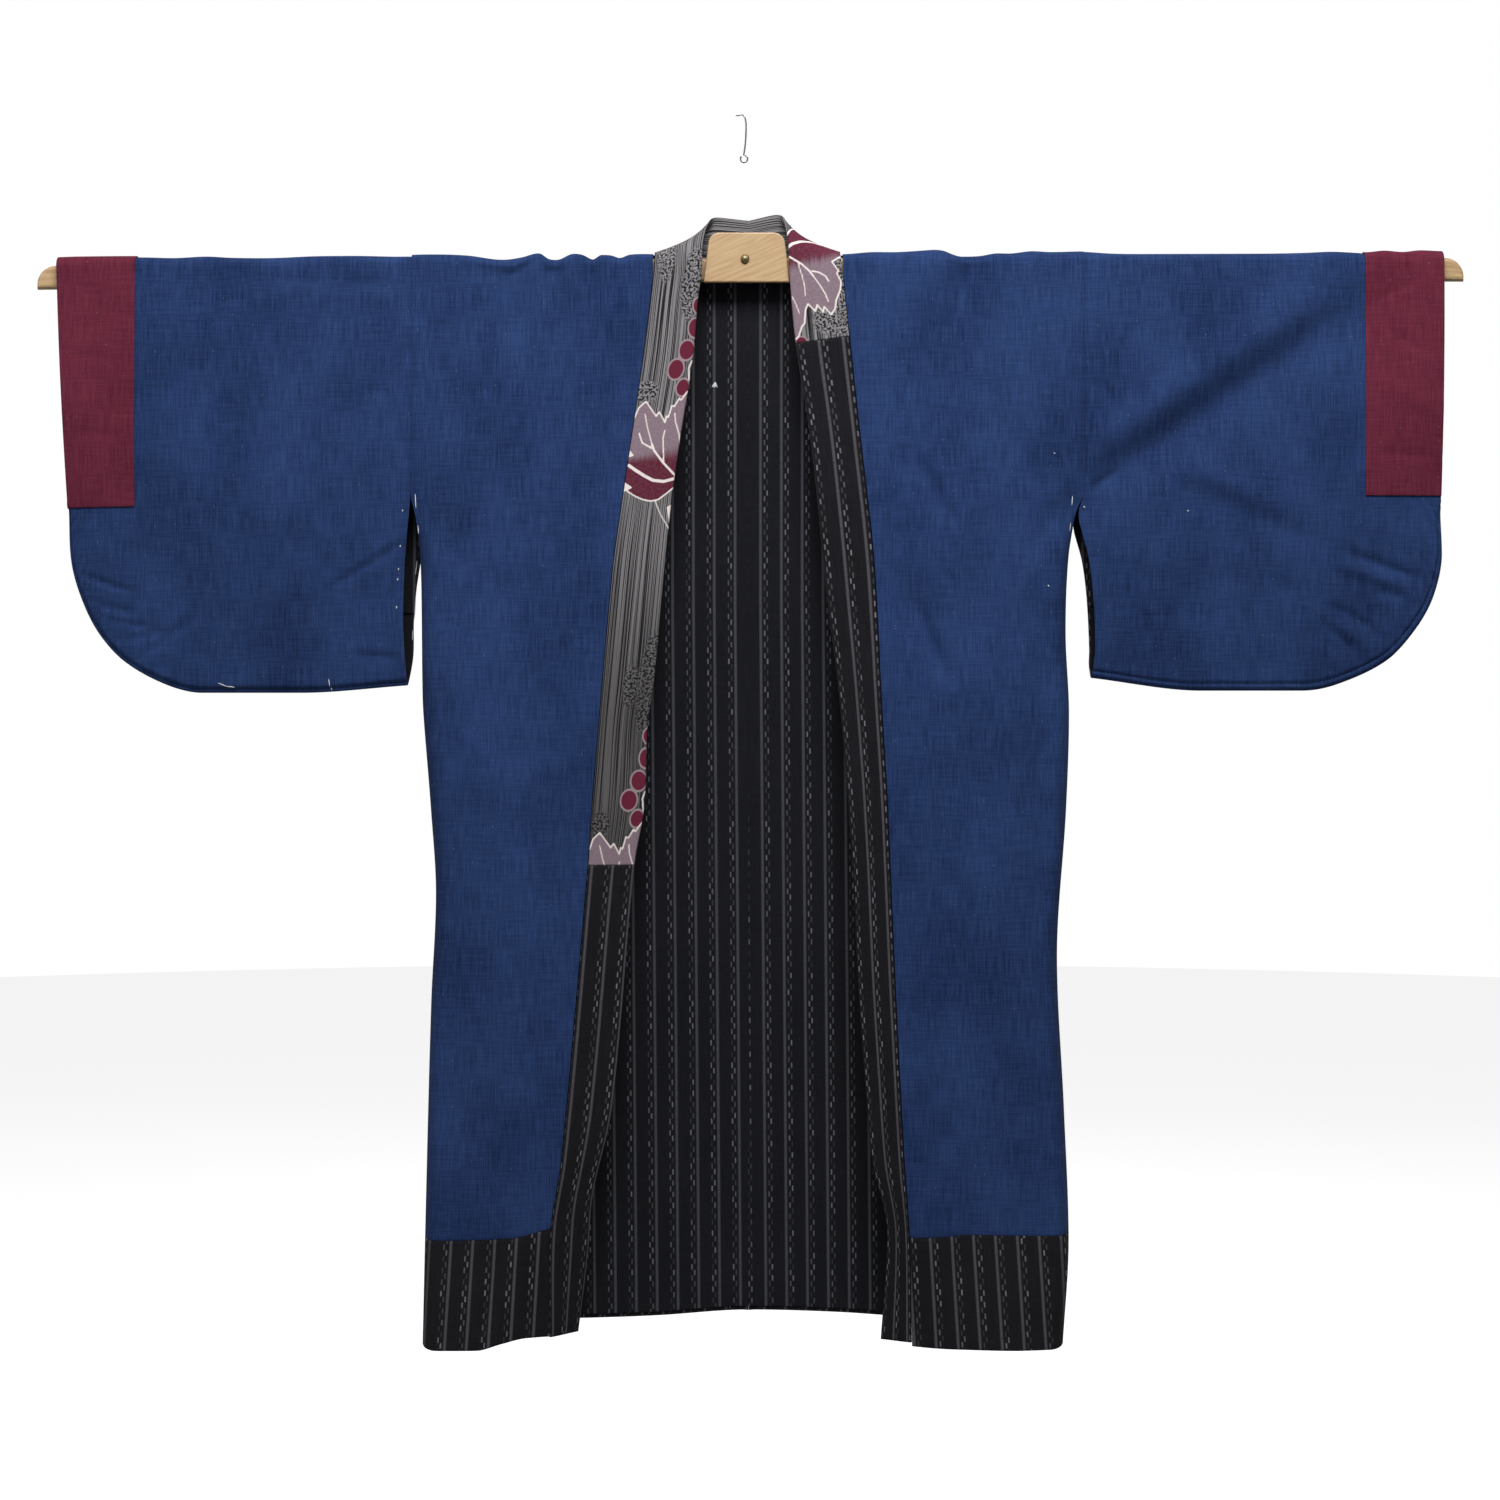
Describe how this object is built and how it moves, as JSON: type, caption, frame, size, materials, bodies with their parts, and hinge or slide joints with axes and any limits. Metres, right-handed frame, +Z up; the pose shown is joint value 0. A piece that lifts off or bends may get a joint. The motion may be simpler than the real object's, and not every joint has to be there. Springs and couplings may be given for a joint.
{
  "type": "lined cotton work coat on a wooden hanger with a wall hook",
  "caption": "Open-fronted kimono-cut work coat of pieced indigo cotton, hung flat on a straight wooden hanger from a wire wall hook.",
  "frame": {"origin": "under the top bend of the wire hook, where a wall nail or peg bears the whole weight", "axes": "+Z up, +X to the viewer's right along the hanger, -Y towards the viewer and the coat's front, +Y towards the wall"},
  "size_m": [1.3397, 0.0693, 1.1499],
  "materials": {
    "indigo_cotton": "plain-woven indigo cotton, matt and slightly faded",
    "maroon_cotton": "plain maroon cotton, matt",
    "striped_cotton": "near-black cotton with fine grey stripes and broken dashes",
    "lining_cotton": "near-black cotton lining with fine grey stripes and broken dashes",
    "leaf_cotton": "grey and black stripe-and-mottle cotton printed with vine leaves and berries",
    "hanger_wood": "pale straight-grained wood, satin",
    "bolt_brass": "dulled brass",
    "hook_steel": "plain bent wire",
    "clear_nylon": "clear nylon line"
  },
  "bodies": {
    "root": {"front_left": "indigo_cotton", "back_left": "indigo_cotton", "sleeve_left": "indigo_cotton", "cuff_left": "maroon_cotton", "hem_front_left": "striped_cotton", "hem_back_left": "striped_cotton", "collar_left": "striped_cotton", "lining_left": "lining_cotton", "sleeve_lining_left": "lining_cotton", "hanger_arm_left": "hanger_wood", "front_right": "indigo_cotton", "back_right": "indigo_cotton", "sleeve_right": "indigo_cotton", "cuff_right": "maroon_cotton", "hem_front_right": "striped_cotton", "hem_back_right": "striped_cotton", "collar_right": "striped_cotton", "lining_right": "lining_cotton", "sleeve_lining_right": "lining_cotton", "hanger_arm_right": "hanger_wood", "collar_patterned": "leaf_cotton", "hanger_plate": "hanger_wood", "hanger_bolt": "bolt_brass", "hanger_nut": "bolt_brass", "wall_hook": "hook_steel", "hanging_line": "clear_nylon"}
  },
  "joints": []
}
